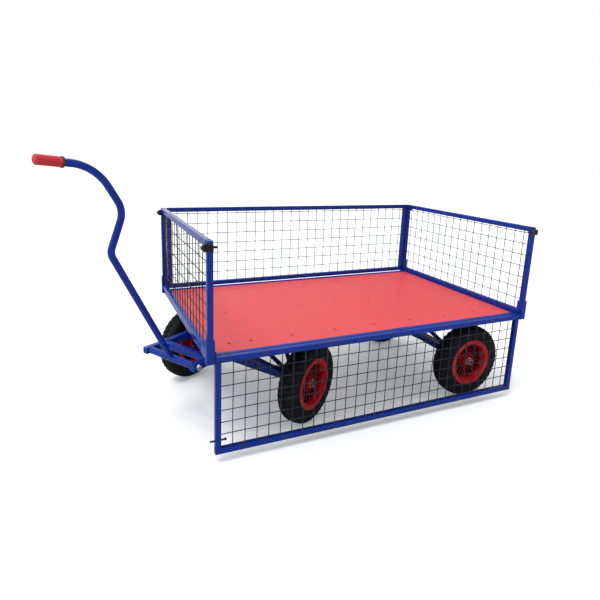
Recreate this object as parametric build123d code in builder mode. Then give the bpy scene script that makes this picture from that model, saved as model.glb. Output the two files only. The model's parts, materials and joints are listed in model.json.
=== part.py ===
"""Turntable mesh trolley: a steered four-wheel hand cart with a mesh cage and drop sides."""
import os
from math import cos, radians, sin

from build123d import *

os.makedirs("parts", exist_ok=True)

# ---- overall sizes (mm) ----
deck_half_l = 865.0        # end rails, outer face from the deck centre
deck_half_w = 510.0        # side rails, outer face from the deck centre
frame_top = 480.0          # top of the deck frame above the floor
post_top = 957.0           # top of the corner posts above the floor
steer_deg = 31.5           # bogie turned to the near side, as built

# ---- tube sections ----
rail = 25.0                # square tube of deck rails and cross members
cage = 25.0                # square tube of every cage panel
tube_wall = 2.0
weld_gap = 0.5             # clearance of a post in its socket, per side

# ---- deck ----
cross_drop = 15.0          # cross members hang this far below the rails
board_thick = 12.0
board_gap = 2.0
cross_front = (-200.0, -100.0, 100.0)     # cross members from the kingpin
cross_middle = (-220.0, 0.0, 220.0)       # from the deck centre
cross_rear = (-180.0, 20.0, 170.0)        # from the rear axle
longeron_y = 340.0
longeron_ahead = 510.0     # from the rear axle
longeron_behind = 180.0
screw_d = 8.0
screw_head_d = 14.0
screw_head_h = 2.5
screw_len = 20.0
screw_rows = (-400.0, 0.0, 400.0)

# ---- corner posts and sockets ----
post_inset = 7.5           # post centre inside the end rails' outer face
socket_wall = 4.0
socket_top = 556.0
post_foot = 456.0
end_sill = 1.0             # bottom rail of an end panel above the deck frame

# ---- side panels ----
pivot_z = 493.0            # hinge line of both side panels
side_gap = 6.0             # side panel to side rail
side_end_gap = 2.5         # side panel to socket, each end
near_panel_h = 437.0
near_offset = 12.5         # near panel edge below its hinge line
far_panel_h = 477.0
hinge_pin_d = 10.0
hinge_fit = 0.05           # radial running clearance of every pin
hinge_pin_in = 30.0
tab_thick = 6.0
tab_r = 11.0
tip_gap = 0.5

# ---- wire mesh ----
wire = 4.0
end_pitch = 60.0
far_pitch = 60.0
near_pitch = 54.5
mesh_first = 10.0          # first cross wire from the free rail
mesh_shift = 2.5           # mesh of a side panel from its mid-plane

# ---- latches ----
latch_z = 930.0
latch_d = 10.0
latch_tip = 12.0           # reach of a shot bolt into a panel stile
latch_hole = 12.0
latch_depth = 17.0         # hole in the stile that takes the bolt
guide_l = 14.0
guide_h = 30.0
knob_d = 16.0
knob_l = 8.0
knob_gap = 0.5
guide_lip = 3.0
pin_z = 101.0              # spring pin on the near panel, panel hanging
pin_shift = 5.0            # spring pin from the panel's mid-plane, toward the deck
pin_d = 8.0
pin_hole = 9.0             # hole in the front post that takes the spring pin
pin_out = 20.0
pin_in = 45.0
pin_head_d = 12.0
pin_head_l = 6.0

# ---- wheels and axles ----
wheel_d = 400.0
tyre_w = 96.0
wheel_track = 404.0        # wheel mid-plane from the centre line
rim_d = 256.0
rim_lip = 4.0              # thickness of the rim flange
rim_inset = 2.0            # flange inside the tyre's widest point
rim_wall = 4.0
rim_seat_d = 206.0
disc_thick = 6.0
hub_d = 52.0
hub_l = 60.0
rib_count = 20
rib_t = 3.0
rib_deep = 22.0
rib_sink = 2.0             # how far a rib runs into the hub and the rim wall
hub_bore = 26.0
tyre_wall = 6.5
tread_thick = 13.0
# side of the tyre: in from its widest point, and share of the height above the rim flange
tyre_side = ((1.0, 0.14), (0.0, 0.33), (2.0, 0.67), (9.0, 0.86), (24.0, 0.98))
# its air space: in from the widest point in walls, and the same share
tyre_air = ((1.0, 0.19), (1.0, 0.56), (2.0, 0.8))
collar_d = 32.0
side_play = 0.3            # wheel hub to washer and to collar
axle_z = wheel_d / 2
axle_box = 40.0
axle_half = 340.0
stub_d = 20.0
bearing_d = 40.0
bearing_w = 12.0
washer_d = 34.0
washer_t = 3.0
nut_af = 30.0
nut_h = 14.0
rear_axle_in = 245.0       # behind it to the end rail's outer face
stay_d = 22.0
stay_in = 14.0             # lower ends of the stays from the end of the axle box
rear_stay_at = (-463.0, -290.0, 150.0)    # tops of the rear stays from the rear axle
front_stay_r = (250.0, 105.0, -110.0)

# ---- turntable and drawbar ----
kingpin_in = 325.0         # from the end rail's outer face
plate_half = 150.0
plate_t = 8.0
ring_out = 130.0
ring_in = 104.0
ring_h = 11.85
ring_gap = 0.3
ring_bolt_d = 8.0
ring_bolt_af = 13.0
ring_bolt_h = 5.5
ring_bolt_r = 117.0
ring_bolt_at = (65.0, 90.0, 115.0, 245.0, 270.0, 295.0)
kingpin_d = 20.0
king_head_d = 36.0
king_head_h = 8.0
king_nut_af = 30.0
king_play = 0.3
arm_y = 150.0
arm_box = 30.0
arm_back = -150.0
draw_r = 495.0             # handle pivot ahead of the kingpin
draw_over = 22.0
draw_cross_r = 405.0
draw_mid = 80.0            # cross tubes either side of the kingpin
pivot_bolt_d = 16.0
boss_d = 32.0
boss_gap = 1.0
bolt_head_af = 24.0
bolt_head_h = 10.0

# ---- handle, in the upright plane through the kingpin: ahead of it, above the floor ----
handle_d = 28.0
handle_wall = 3.0
handle_bends = (45.0, 80.0, 190.0)
handle_path = ((779.0, 900.0), (712.0, 1056.0), (822.0, 1223.0))
grip_d = 36.0
grip_l = 85.0
grip_cap = 6.0
grip_round = 5.0
grip_end = 1031.0
grip_z = 1243.0
grip_ring_d = 39.0
grip_ring_l = 5.0

# ---- places worked out from the sizes ----
socket_out = cage + 2 * weld_gap + 2 * socket_wall
kingpin_x = kingpin_in - deck_half_l
rear_axle_x = deck_half_l - rear_axle_in
cross_at = [kingpin_x + a for a in cross_front] + [*cross_middle] + [rear_axle_x + a for a in cross_rear]
longeron_front = rear_axle_x - longeron_ahead
longeron_rear = rear_axle_x + longeron_behind
rear_stay_x = [rear_axle_x + a for a in rear_stay_at]
post_x = deck_half_l - post_inset
front_end = kingpin_x - (grip_end + grip_cap) * cos(radians(steer_deg))
rear_end = post_x + cage / 2 + guide_l + knob_gap + knob_l
deck_x = -(front_end + rear_end) / 2
rail_z = frame_top - rail
cross_z = rail_z - cross_drop
post_y = deck_half_w + socket_out / 2
side_y = deck_half_w + side_gap + cage / 2
side_half = post_x - socket_out / 2 - side_end_gap
turn_x = deck_x + kingpin_x
rear_x = deck_x + rear_axle_x
plate_z = cross_z - plate_t
lower_z = plate_z - 2 * ring_h - ring_gap - plate_t
arm_z = lower_z - arm_box
draw_z = arm_z + arm_box / 2
bogie = Location((turn_x, 0, 0), (0, 0, steer_deg))


def save(part, label):
    """Name a finished sub-part and write it out."""
    part.label = label
    export_step(part, f"parts/{label}.step")


def bar(x0, x1, y0, y1, z0, z1, mode=Mode.ADD):
    """Square-cornered bar between two corners."""
    with BuildSketch(Plane.XY.offset(z0)) as profile:
        with Locations(((x0 + x1) / 2, (y0 + y1) / 2)):
            Rectangle(x1 - x0, y1 - y0)
    extrude(profile.sketch, amount=z1 - z0, mode=mode)


def tubes(bars, wall=tube_wall):
    """Weld a list of bars and hollow each one."""
    for b in bars:
        bar(*b)
    for x0, x1, y0, y1, z0, z1 in bars:
        bar(x0 + wall, x1 - wall, y0 + wall, y1 - wall, z0 + wall, z1 - wall, Mode.SUBTRACT)


def rod(start, end, d, mode=Mode.ADD):
    """Round bar between two points."""
    a, b = Vector(*start), Vector(*end)
    with BuildSketch(Plane(origin=a, z_dir=b - a)) as profile:
        Circle(d / 2)
    extrude(profile.sketch, amount=(b - a).length, mode=mode)


def hex_prism(start, end, across_flats):
    """Hexagon nut or head between two points."""
    a, b = Vector(*start), Vector(*end)
    with BuildSketch(Plane(origin=a, z_dir=b - a)) as profile:
        RegularPolygon(across_flats / 2, 6, major_radius=False)
    extrude(profile.sketch, amount=(b - a).length)


def levels(low, high, pitch):
    """Cross wire heights, counted down from the free rail."""
    rows = [high - mesh_first]
    while rows[-1] - pitch > low + wire:
        rows.append(rows[-1] - pitch)
    return rows


def spread(length, pitch):
    """Wire places across a span, centred."""
    count = int(length / pitch)
    return [(i - (count - 1) / 2) * pitch for i in range(count)]


# ================= deck =================
with BuildPart() as deck_frame:
    x0, x1 = deck_x - deck_half_l, deck_x + deck_half_l
    inner = deck_half_w - rail
    frame_bars = [
        (x0, x0 + rail, -deck_half_w, deck_half_w, rail_z, frame_top),
        (x1 - rail, x1, -deck_half_w, deck_half_w, rail_z, frame_top),
        (x0 + rail, x1 - rail, -deck_half_w, -inner, rail_z, frame_top),
        (x0 + rail, x1 - rail, inner, deck_half_w, rail_z, frame_top),
    ]
    for x in cross_at:
        a = deck_x + x - rail / 2
        frame_bars.append((a, a + rail, -inner, inner, cross_z, cross_z + rail))
    for side in (-1, 1):
        a = side * longeron_y - rail / 2
        b0, b1 = deck_x + longeron_front, deck_x + longeron_rear
        frame_bars.append((b0, b1, a, a + rail, cross_z - rail, cross_z))
    tubes(frame_bars)
save(deck_frame.part, "deck_frame")

board_z = cross_z + rail
with BuildPart() as deck_board:
    bx, by = deck_half_l - rail - board_gap, deck_half_w - rail - board_gap
    bar(deck_x - bx, deck_x + bx, -by, by, board_z, board_z + board_thick)
    for x in cross_at:
        for y in screw_rows:
            top = board_z + board_thick
            rod((deck_x + x, y, top - screw_head_h), (deck_x + x, y, top), screw_head_d, Mode.SUBTRACT)
            rod((deck_x + x, y, board_z), (deck_x + x, y, top), screw_d, Mode.SUBTRACT)
save(deck_board.part, "deck_board")

with BuildPart() as deck_screws:
    for x in cross_at:
        for y in screw_rows:
            top = board_z + board_thick
            rod((deck_x + x, y, top - screw_head_h), (deck_x + x, y, top), screw_head_d)
            rod((deck_x + x, y, board_z), (deck_x + x, y, top - screw_head_h), screw_d)
save(deck_screws.part, "deck_screws")

# ================= sockets =================
with BuildPart() as post_sockets:
    half, bore = socket_out / 2, socket_out / 2 - socket_wall
    for sx in (-1, 1):
        for sy in (-1, 1):
            cx, cy = deck_x + sx * post_x, sy * post_y
            bar(cx - half, cx + half, cy - half, cy + half, rail_z, socket_top)
            bar(cx - bore, cx + bore, cy - bore, cy + bore, rail_z, socket_top, Mode.SUBTRACT)
            notch = sorted((cy - sy * bore, cy - sy * half))
            gate = cage / 2 + weld_gap
            sill = frame_top + end_sill
            bar(cx - gate, cx + gate, notch[0], notch[1], sill - weld_gap, socket_top, Mode.SUBTRACT)
            pin = (cx - sx * half, sy * side_y, pivot_z)
            rod(pin, (cx - sx * bore, sy * side_y, pivot_z), hinge_pin_d + 2 * hinge_fit, Mode.SUBTRACT)
save(post_sockets.part, "post_sockets")

# ================= end panels =================
for end, sx in (("front", -1), ("rear", 1)):
    cx, h = deck_x + sx * post_x, cage / 2
    sill = frame_top + end_sill
    with BuildPart() as end_frame:
        tubes([
            (cx - h, cx + h, -post_y - h, -post_y + h, post_foot, post_top),
            (cx - h, cx + h, post_y - h, post_y + h, post_foot, post_top),
            (cx - h, cx + h, -post_y + h, post_y - h, post_top - cage, post_top),
            (cx - h, cx + h, -post_y + h, post_y - h, sill, sill + cage),
        ])
        for sy in (-1, 1):
            hole = latch_d + 2 * hinge_fit
            rod((cx - h, sy * side_y, latch_z), (cx + h, sy * side_y, latch_z), hole, Mode.SUBTRACT)
            if end == "front" and sy < 0:
                y, z = -side_y - pin_shift, 2 * pivot_z - pin_z
                rod((cx + h, y, z), (cx - h + tube_wall, y, z), pin_hole, Mode.SUBTRACT)
    save(end_frame.part, f"{end}_panel_frame")
    low, high = sill + cage, post_top - cage
    wide = post_y - h
    with BuildPart() as end_uprights:
        for y in spread(2 * wide, end_pitch):
            bar(cx - wire, cx, y - wire / 2, y + wire / 2, low, high)
    save(end_uprights.part, f"{end}_mesh_uprights")
    with BuildPart() as end_crosswires:
        for z in levels(low, high, end_pitch):
            bar(cx, cx + wire, -wide, wide, z - wire / 2, z + wire / 2)
    save(end_crosswires.part, f"{end}_mesh_crosswires")

# ================= side panels =================
near_top = pivot_z - near_offset
near_low = near_top - near_panel_h
far_low = pivot_z - cage / 2
left, right = deck_x - side_half, deck_x + side_half
pin_tip = post_x - cage / 2 - tip_gap

for panel, y, low, high, catch in (
    ("near", -side_y, near_low, near_top, 2 * pivot_z - latch_z),
    ("far", side_y, far_low, far_low + far_panel_h, latch_z),
):
    h = cage / 2
    with BuildPart() as side_frame:
        tubes([
            (left, right, y - h, y + h, low, low + cage),
            (left, right, y - h, y + h, high - cage, high),
            (left, left + cage, y - h, y + h, low + cage, high - cage),
            (right - cage, right, y - h, y + h, low + cage, high - cage),
        ])
        for sx in (-1, 1):
            edge = deck_x + sx * side_half
            rod((edge, y, catch), (edge - sx * latch_depth, y, catch), latch_hole, Mode.SUBTRACT)
            if panel == "near":
                tab = sorted((edge, edge - sx * tab_thick))
                bar(tab[0], tab[1], y - tab_r, y + tab_r, near_top, pivot_z)
                rod((tab[0], y, pivot_z), (tab[1], y, pivot_z), 2 * tab_r)
                rod((tab[0], y, pivot_z), (tab[1], y, pivot_z), hinge_pin_d, Mode.SUBTRACT)
            else:
                inner_end = edge - sx * hinge_pin_in
                rod((edge, y, pivot_z), (inner_end, y, pivot_z), hinge_pin_d, Mode.SUBTRACT)
        if panel == "near":
            y_pin = y + pin_shift
            rod((left, y_pin, pin_z), (left + cage, y_pin, pin_z), pin_d + 2 * hinge_fit, Mode.SUBTRACT)
    save(side_frame.part, f"{panel}_panel_frame")

    with BuildPart() as side_pins:
        depth = tab_thick if panel == "near" else hinge_pin_in
        for sx in (-1, 1):
            start = (deck_x + sx * (side_half - depth), y, pivot_z)
            rod(start, (deck_x + sx * pin_tip, y, pivot_z), hinge_pin_d)
    save(side_pins.part, f"{panel}_hinge_pins")

    a, b = y - mesh_shift, y - mesh_shift - wire
    m0, m1 = low + cage, high - cage
    pitch = near_pitch if panel == "near" else far_pitch
    rows = levels(m0, m1, pitch)
    if panel == "near":
        rows = [m0 + m1 - z for z in rows]
    with BuildPart() as side_uprights:
        for x in spread(2 * (side_half - cage), pitch):
            bar(deck_x + x - wire / 2, deck_x + x + wire / 2, b - wire, b, m0, m1)
    save(side_uprights.part, f"{panel}_mesh_uprights")
    with BuildPart() as side_crosswires:
        for z in rows:
            bar(left + cage, right - cage, b, a, z - wire / 2, z + wire / 2)
    save(side_crosswires.part, f"{panel}_mesh_crosswires")

with BuildPart() as panel_pin:
    y = -side_y + pin_shift
    rod((left - pin_out, y, pin_z), (left + pin_in, y, pin_z), pin_d)
    rod((left + pin_in, y, pin_z), (left + pin_in + pin_head_l, y, pin_z), pin_head_d)
save(panel_pin.part, "panel_pin")

# ================= latches on the posts =================
with BuildPart() as latch_guides:
    for sx in (-1, 1):
        for sy in (-1, 1):
            h = cage / 2
            inner_x, outer_x = post_x - h, post_x + h + guide_l
            xs = sorted((deck_x + sx * inner_x, deck_x + sx * outer_x))
            ys = sorted((sy * (post_y - h), sy * (post_y + h + guide_lip)))
            bar(xs[0], xs[1], ys[0], ys[1], latch_z - guide_h / 2, latch_z + guide_h / 2)
            px = sorted((deck_x + sx * inner_x, deck_x + sx * (post_x + h)))
            py = sorted((sy * (post_y - h), sy * (post_y + h)))
            bar(*px, *py, latch_z - guide_h / 2, latch_z + guide_h / 2, Mode.SUBTRACT)
            a = (xs[0], sy * side_y, latch_z)
            rod(a, (xs[1], sy * side_y, latch_z), latch_d + 2 * hinge_fit, Mode.SUBTRACT)
save(latch_guides.part, "latch_guides")

for name, sx, sy in (("fn", -1, -1), ("ff", -1, 1), ("rn", 1, -1), ("rf", 1, 1)):
    with BuildPart() as latch_bolt:
        y, root = sy * side_y, post_x + cage / 2 + guide_l + knob_gap
        rod((deck_x + sx * (side_half - latch_tip), y, latch_z), (deck_x + sx * root, y, latch_z), latch_d)
        rod((deck_x + sx * root, y, latch_z), (deck_x + sx * (root + knob_l), y, latch_z), knob_d)
    save(latch_bolt.part, f"latch_bolt_{name}")

# ================= axles and stays =================
stub_end = wheel_track + hub_l / 2 + side_play + washer_t + nut_h
hub_in = wheel_track - hub_l / 2 - side_play


def axle(x):
    """Square axle box with a collar and a turned stub at each end."""
    b = axle_box / 2
    bar(x - b, x + b, -axle_half, axle_half, axle_z - b, axle_z + b)
    for sy in (-1, 1):
        rod((x, sy * axle_half, axle_z), (x, sy * hub_in, axle_z), collar_d)
        rod((x, sy * hub_in, axle_z), (x, sy * stub_end, axle_z), stub_d)


def stays(x, tops, top_y, top_z):
    """Round stays from the ends of an axle box up to the frame."""
    for sy in (-1, 1):
        foot = (x, sy * (axle_half - stay_in), axle_z)
        for t in tops:
            rod(foot, (t, sy * top_y, top_z + stay_d), stay_d)
    b = axle_box / 2
    bar(x - b, x + b, -axle_half, axle_half, axle_z - b, axle_z + b, Mode.SUBTRACT)


with BuildPart() as rear_axle:
    axle(rear_x)
save(rear_axle.part, "rear_axle")

with BuildPart() as rear_stays:
    stays(rear_x, [deck_x + t for t in rear_stay_x], longeron_y, cross_z - rail)
    bar(deck_x - deck_half_l, deck_x + deck_half_l, -deck_half_w, deck_half_w,
        cross_z - rail, frame_top, Mode.SUBTRACT)
save(rear_stays.part, "rear_stays")

# ================= turntable =================
def ring_bolts(cx, base, top, head_at, head_to):
    """Bolts through one plate and its ring: shanks, then heads."""
    for a in ring_bolt_at:
        x, y = cx + ring_bolt_r * cos(radians(a)), ring_bolt_r * sin(radians(a))
        rod((x, y, base), (x, y, top), ring_bolt_d)
        hex_prism((x, y, head_at), (x, y, head_to), ring_bolt_af)


def ring_holes(cx, base, top):
    """The holes that take the ring bolts."""
    for a in ring_bolt_at:
        x, y = cx + ring_bolt_r * cos(radians(a)), ring_bolt_r * sin(radians(a))
        rod((x, y, base), (x, y, top), ring_bolt_d, Mode.SUBTRACT)


with BuildPart() as turntable_top:
    half = plate_half
    bar(turn_x - half, turn_x + half, -half, half, plate_z, cross_z)
    rod((turn_x, 0, plate_z - ring_h), (turn_x, 0, plate_z), 2 * ring_out)
    rod((turn_x, 0, plate_z - ring_h), (turn_x, 0, plate_z), 2 * ring_in, Mode.SUBTRACT)
    rod((turn_x, 0, plate_z), (turn_x, 0, cross_z), kingpin_d, Mode.SUBTRACT)
    ring_holes(turn_x, plate_z - ring_h, cross_z)
save(turntable_top.part, "turntable_top")

with BuildPart() as top_bolts:
    ring_bolts(turn_x, plate_z - ring_h, cross_z, cross_z, cross_z + ring_bolt_h)
save(top_bolts.part, "turntable_bolts_top")

with BuildPart() as kingpin:
    foot = lower_z - washer_t - king_play
    rod((turn_x, 0, foot - nut_h), (turn_x, 0, cross_z), kingpin_d)
    rod((turn_x, 0, cross_z), (turn_x, 0, cross_z + king_head_h), king_head_d)
save(kingpin.part, "kingpin")

with BuildPart() as kingpin_nut:
    hex_prism((turn_x, 0, foot - nut_h), (turn_x, 0, foot), king_nut_af)
    rod((turn_x, 0, foot), (turn_x, 0, foot + washer_t), king_head_d)
    rod((turn_x, 0, foot - nut_h), (turn_x, 0, foot + washer_t), kingpin_d, Mode.SUBTRACT)
save(kingpin_nut.part, "kingpin_nut")

with BuildPart() as turntable_low:
    rod((0, 0, lower_z + plate_t), (0, 0, lower_z + plate_t + ring_h), 2 * ring_out)
    rod((0, 0, lower_z + plate_t), (0, 0, lower_z + plate_t + ring_h), 2 * ring_in, Mode.SUBTRACT)
    bar(-half, half, -half, half, lower_z, lower_z + plate_t)
    rod((0, 0, lower_z), (0, 0, lower_z + plate_t), kingpin_d + 2 * hinge_fit, Mode.SUBTRACT)
    ring_holes(0, lower_z, lower_z + plate_t + ring_h)
save(bogie * turntable_low.part, "turntable_low")

with BuildPart() as low_bolts:
    ring_bolts(0, lower_z, lower_z + plate_t + ring_h, lower_z - ring_bolt_h, lower_z)
save(bogie * low_bolts.part, "turntable_bolts_low")

# ================= bogie: the drawbar points along -X before it is turned =================
with BuildPart() as drawbar_frame:
    a, tip = arm_box / 2, draw_r + draw_over
    gap = arm_y - a
    bars = [(-tip, -arm_back, s * arm_y - a, s * arm_y + a, arm_z, lower_z) for s in (-1, 1)]
    for x in (-draw_cross_r, arm_back - a, -draw_mid, draw_mid, -arm_back - a):
        bars.append((x - a, x + a, -gap, gap, arm_z, lower_z))
    tubes(bars)
    for s in (-1, 1):
        rod((-draw_r, s * (arm_y - a), draw_z), (-draw_r, s * (arm_y + a), draw_z),
            pivot_bolt_d, Mode.SUBTRACT)
save(bogie * drawbar_frame.part, "drawbar_frame")

with BuildPart() as front_axle:
    axle(0)
save(bogie * front_axle.part, "front_axle")

with BuildPart() as front_stays:
    stays(0, [-r for r in front_stay_r], arm_y, arm_z)
    bar(-draw_r, -arm_back, -axle_half, axle_half, arm_z, lower_z + plate_t, Mode.SUBTRACT)
save(bogie * front_stays.part, "front_stays")

with BuildPart() as handle_bolt:
    out = arm_y + arm_box / 2
    rod((-draw_r, -out, draw_z), (-draw_r, out + bolt_head_h, draw_z), pivot_bolt_d)
    hex_prism((-draw_r, -out - bolt_head_h, draw_z), (-draw_r, -out, draw_z), bolt_head_af)
save(bogie * handle_bolt.part, "handle_bolt")

with BuildPart() as handle_nut:
    hex_prism((-draw_r, out, draw_z), (-draw_r, out + bolt_head_h, draw_z), bolt_head_af)
    rod((-draw_r, out, draw_z), (-draw_r, out + bolt_head_h, draw_z), pivot_bolt_d, Mode.SUBTRACT)
save(bogie * handle_nut.part, "handle_nut")

# ================= handle =================
with BuildLine(Plane.XZ) as spine:
    bends = [(-r, z) for r, z in handle_path]
    FilletPolyline((-draw_r, draw_z), *bends, (-grip_end, grip_z), radius=handle_bends)
start = Plane(origin=spine.line @ 0, z_dir=spine.line % 0)
with BuildPart() as handle_tube:
    with BuildSketch(start):
        Circle(handle_d / 2)
    sweep(path=spine.line)
    reach_y = arm_y - arm_box / 2 - boss_gap
    rod((-draw_r, -reach_y, draw_z), (-draw_r, reach_y, draw_z), boss_d)
    with BuildSketch(start):
        Circle(handle_d / 2 - handle_wall)
    sweep(path=spine.line, mode=Mode.SUBTRACT)
    rod((-draw_r, -reach_y, draw_z), (-draw_r, reach_y, draw_z), pivot_bolt_d + 2 * hinge_fit, Mode.SUBTRACT)
save(bogie * handle_tube.part, "handle_tube")

aim = (spine.line % 1).normalized()
tip = spine.line @ 1
with BuildPart() as handle_grip:
    rod(tip - aim * grip_l, tip + aim * grip_cap, grip_d)
    fillet(handle_grip.edges().filter_by(GeomType.CIRCLE), grip_round)
    rod(tip - aim * grip_l, tip, handle_d, Mode.SUBTRACT)
save(bogie * handle_grip.part, "handle_grip")

with BuildPart() as grip_ring:
    rod(tip - aim * (grip_l + grip_ring_l), tip - aim * grip_l, grip_ring_d)
    rod(tip - aim * (grip_l + grip_ring_l), tip - aim * grip_l, handle_d, Mode.SUBTRACT)
save(bogie * grip_ring.part, "grip_ring")

# ================= wheels: built about the Y axis, outer side toward +Y =================
seat, lip, w = rim_seat_d / 2, rim_d / 2, tyre_w / 2
lip_out = w - rim_inset
lip_in = lip_out - rim_lip
wall = seat - rim_wall
with BuildPart() as rim:
    with BuildSketch(Plane.YZ):
        with BuildLine():
            Polyline(
                (-lip_out, wall), (lip_out, wall), (lip_out, lip),
                (lip_in, lip), (lip_in, seat), (-lip_in, seat), (-lip_in, lip),
                (-lip_out, lip), (-lip_out, wall),
            )
        make_face()
    revolve(axis=Axis.Y)
    rod((0, -hub_l / 2, 0), (0, hub_l / 2, 0), hub_d)
    rod((0, -disc_thick / 2, 0), (0, disc_thick / 2, 0), 2 * wall)
    for i in range(rib_count):
        turn = Plane(origin=(0, -rib_deep, 0), z_dir=(0, 1, 0)).rotated((0, 360 * i / rib_count, 0))
        with BuildSketch(turn) as rib:
            with Locations(((hub_d / 2 + wall) / 2, 0)):
                Rectangle(wall - hub_d / 2 + 2 * rib_sink, rib_t)
        extrude(rib.sketch, amount=2 * rib_deep)
    rod((0, -hub_l / 2, 0), (0, hub_l / 2, 0), hub_bore, Mode.SUBTRACT)
    for s in (-1, 1):
        end = hub_l / 2
        rod((0, s * (end - bearing_w), 0), (0, s * end, 0), bearing_d, Mode.SUBTRACT)

with BuildPart() as tyre:
    section = wheel_d / 2 - lip
    shoulder = [(w - a, lip + b * section) for a, b in tyre_side]
    air = [(w - a * tyre_wall, lip + b * section) for a, b in tyre_air]
    profile = [(lip_in, seat), (lip_in, lip), *shoulder, (0, wheel_d / 2)]
    cavity = [(lip_in - tyre_wall, seat), (lip_in - tyre_wall, lip), *air, (0, wheel_d / 2 - tread_thick)]
    with BuildSketch(Plane.YZ):
        with BuildLine():
            outer = [(-a, b) for a, b in profile[:-1]] + [(a, b) for a, b in reversed(profile)]
            inside = [(a, b) for a, b in cavity[:-1]] + [(-a, b) for a, b in reversed(cavity)]
            Polyline(*outer, *inside, outer[0])
        make_face()
    revolve(axis=Axis.Y)

with BuildPart() as bearings:
    for s in (-1, 1):
        end = hub_l / 2
        rod((0, s * (end - bearing_w), 0), (0, s * end, 0), bearing_d)
        rod((0, s * (end - bearing_w), 0), (0, s * end, 0), stub_d + 2 * hinge_fit, Mode.SUBTRACT)

near_turn = (0, 0, 180)
wheel_places = {
    "fn": bogie * Location((0, -wheel_track, axle_z), near_turn),
    "ff": bogie * Location((0, wheel_track, axle_z)),
    "rn": Location((rear_x, -wheel_track, axle_z), near_turn),
    "rf": Location((rear_x, wheel_track, axle_z)),
}
for name, place in wheel_places.items():
    save(place * rim.part, f"rim_{name}")
    save(place * tyre.part, f"tyre_{name}")
    save(place * bearings.part, f"bearings_{name}")

for end, home in (("front", bogie), ("rear", Location((rear_x, 0, 0)))):
    with BuildPart() as axle_nuts:
        for s in (-1, 1):
            a = wheel_track + hub_l / 2 + side_play
            rod((0, s * a, axle_z), (0, s * (a + washer_t), axle_z), washer_d)
            hex_prism((0, s * (a + washer_t), axle_z), (0, s * stub_end, axle_z), nut_af)
            rod((0, s * a, axle_z), (0, s * stub_end, axle_z), stub_d, Mode.SUBTRACT)
    save(home * axle_nuts.part, f"{end}_axle_nuts")
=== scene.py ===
import json
import random
from math import cos, pi, radians, sin

import bmesh
import bpy
from mathutils import Matrix, Vector

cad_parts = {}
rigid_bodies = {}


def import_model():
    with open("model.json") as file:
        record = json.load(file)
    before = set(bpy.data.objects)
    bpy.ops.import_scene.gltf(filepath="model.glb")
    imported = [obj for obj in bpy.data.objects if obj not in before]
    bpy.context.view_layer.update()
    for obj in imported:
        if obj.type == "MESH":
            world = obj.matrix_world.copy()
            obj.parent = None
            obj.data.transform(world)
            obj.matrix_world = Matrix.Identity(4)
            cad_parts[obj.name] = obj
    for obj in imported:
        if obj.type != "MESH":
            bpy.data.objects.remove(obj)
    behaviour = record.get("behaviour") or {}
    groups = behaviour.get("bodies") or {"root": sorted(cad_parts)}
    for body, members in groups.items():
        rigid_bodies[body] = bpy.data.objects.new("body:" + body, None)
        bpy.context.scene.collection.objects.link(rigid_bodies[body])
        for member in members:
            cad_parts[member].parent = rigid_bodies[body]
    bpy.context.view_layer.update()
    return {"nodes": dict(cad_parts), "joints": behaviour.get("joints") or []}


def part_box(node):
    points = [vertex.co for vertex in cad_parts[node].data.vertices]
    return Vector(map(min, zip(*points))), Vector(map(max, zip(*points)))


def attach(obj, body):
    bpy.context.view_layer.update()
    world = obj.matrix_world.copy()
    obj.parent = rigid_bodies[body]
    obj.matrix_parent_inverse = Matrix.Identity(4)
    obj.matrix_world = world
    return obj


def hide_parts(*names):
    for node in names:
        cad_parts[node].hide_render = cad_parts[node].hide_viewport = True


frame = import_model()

nodes = frame["nodes"]
joints = {j["name"]: j for j in frame["joints"]}

# The viewpoint: a person's eye height, off the front near corner of the cart, with a slightly
# wide lens. The small shift only frames the cart.
deck_low, deck_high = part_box("deck_frame")
eye_left, eye_back, eye_height = 1.3121, 2.3107, 1.2955
eye_place = Vector(((deck_low.x + deck_high.x) / 2 - eye_left, -eye_back, eye_height))
eye_yaw, eye_pitch, eye_roll = radians(24.709), radians(12.650), radians(2.113)
forward = Vector((sin(eye_yaw) * cos(eye_pitch), cos(eye_yaw) * cos(eye_pitch), -sin(eye_pitch)))
level = Vector((cos(eye_yaw), -sin(eye_yaw), 0.0))
upright = level.cross(forward)
eye_right = level * cos(eye_roll) + upright * sin(eye_roll)
eye_up = upright * cos(eye_roll) - level * sin(eye_roll)
lens = bpy.data.cameras.new("camera")
lens.lens, lens.sensor_width = 29.193, 36.0
lens.shift_x, lens.shift_y = 0.0055, -0.0647
camera = bpy.data.objects.new("camera", lens)
facing = Matrix((eye_right, eye_up, -forward)).transposed().to_4x4()
camera.matrix_world = Matrix.Translation(eye_place) @ facing
bpy.context.scene.collection.objects.link(camera)
bpy.context.scene.camera = camera

# The studio: a plain pale floor, a white room that is brighter overhead, a paler wall at the back
# left that glances off the upper faces, and one soft overhead light.
floor_half = 40.0
floor_bounce, floor_seen = (0.52, 0.54, 0.57, 1), (0.90, 0.91, 0.92, 1)
floor_glow, glow_tint = 0.22, (0.90, 0.97, 1.0, 1)
overhead, back_left = (0.30, 0.90, 0.42, 1.0), (0.15, 0.75, 0.42, 1.25)
sun_power, sun_spread, sun_way = 1.25, radians(20), Vector((0.42, 0.22, -1.0))
paper = bmesh.new()
paper_corners = ((-1, -1), (1, -1), (1, 1), (-1, 1))
paper.faces.new([paper.verts.new((a * floor_half, b * floor_half, 0.0)) for a, b in paper_corners])
floor_mesh = bpy.data.meshes.new("floor")
paper.to_mesh(floor_mesh)
paper.free()
floor = bpy.data.objects.new("floor", floor_mesh)
bpy.context.scene.collection.objects.link(floor)
floor_paint = bpy.data.materials.new("floor_paint")
floor_paint.use_nodes = True
paper_tree = floor_paint.node_tree
floor_shader = paper_tree.nodes["Principled BSDF"]
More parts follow.
